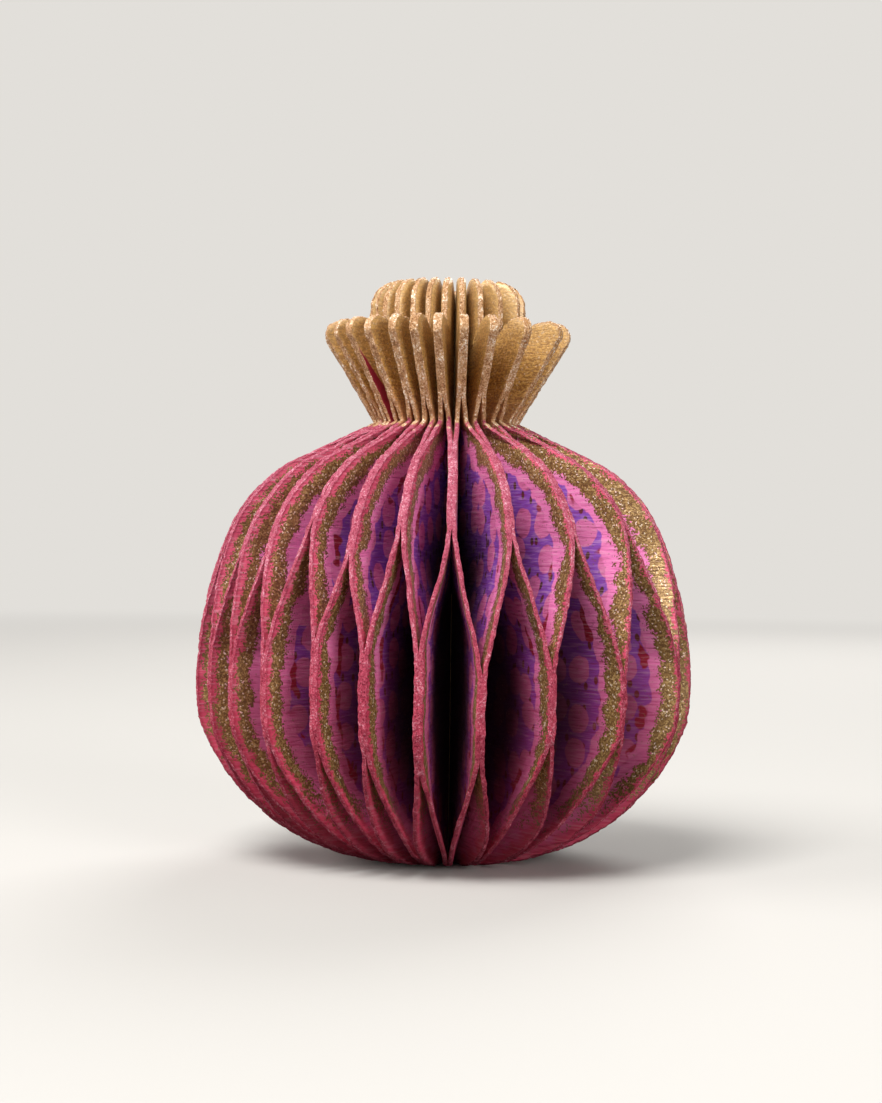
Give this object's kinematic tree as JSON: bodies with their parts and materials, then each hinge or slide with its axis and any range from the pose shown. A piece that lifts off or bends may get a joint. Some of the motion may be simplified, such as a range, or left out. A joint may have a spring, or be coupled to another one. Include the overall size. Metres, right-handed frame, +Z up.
{
  "type": "honeycomb paper ornament",
  "caption": "Pomegranate-shaped honeycomb ornament of glued, die-cut paper leaves fanned into a full round about a rolled spine, with a flared crown and a flat base to stand on.",
  "frame": {"origin": "on the table, under the middle of the ornament", "axes": "+Z up along the spine, -Y towards the front of the picture"},
  "size_m": [0.0858, 0.0857, 0.1004],
  "materials": {
    "leaf_paper": "matte, printed, with gold",
    "binding_paper": "matte"
  },
  "bodies": {
    "root": {"leaf_01": "leaf_paper", "leaf_02": "leaf_paper", "leaf_03": "leaf_paper", "leaf_04": "leaf_paper", "leaf_05": "leaf_paper", "leaf_06": "leaf_paper", "leaf_07": "leaf_paper", "leaf_08": "leaf_paper", "leaf_09": "leaf_paper", "leaf_10": "leaf_paper", "leaf_11": "leaf_paper", "leaf_12": "leaf_paper", "leaf_13": "leaf_paper", "leaf_14": "leaf_paper", "leaf_15": "leaf_paper", "leaf_16": "leaf_paper", "leaf_17": "leaf_paper", "leaf_18": "leaf_paper", "leaf_19": "leaf_paper", "leaf_20": "leaf_paper", "leaf_21": "leaf_paper", "leaf_22": "leaf_paper", "leaf_23": "leaf_paper", "leaf_24": "leaf_paper", "leaf_25": "leaf_paper", "leaf_26": "leaf_paper", "leaf_27": "leaf_paper", "leaf_28": "leaf_paper", "leaf_29": "leaf_paper", "leaf_30": "leaf_paper", "leaf_31": "leaf_paper", "leaf_32": "leaf_paper", "leaf_33": "leaf_paper", "leaf_34": "leaf_paper", "leaf_35": "leaf_paper", "leaf_36": "leaf_paper", "leaf_37": "leaf_paper", "leaf_38": "leaf_paper", "leaf_39": "leaf_paper", "leaf_40": "leaf_paper", "leaf_41": "leaf_paper", "leaf_42": "leaf_paper", "leaf_43": "leaf_paper", "leaf_44": "leaf_paper", "leaf_45": "leaf_paper", "leaf_46": "leaf_paper", "leaf_47": "leaf_paper", "leaf_48": "leaf_paper", "spine_binding": "binding_paper"}
  },
  "joints": []
}
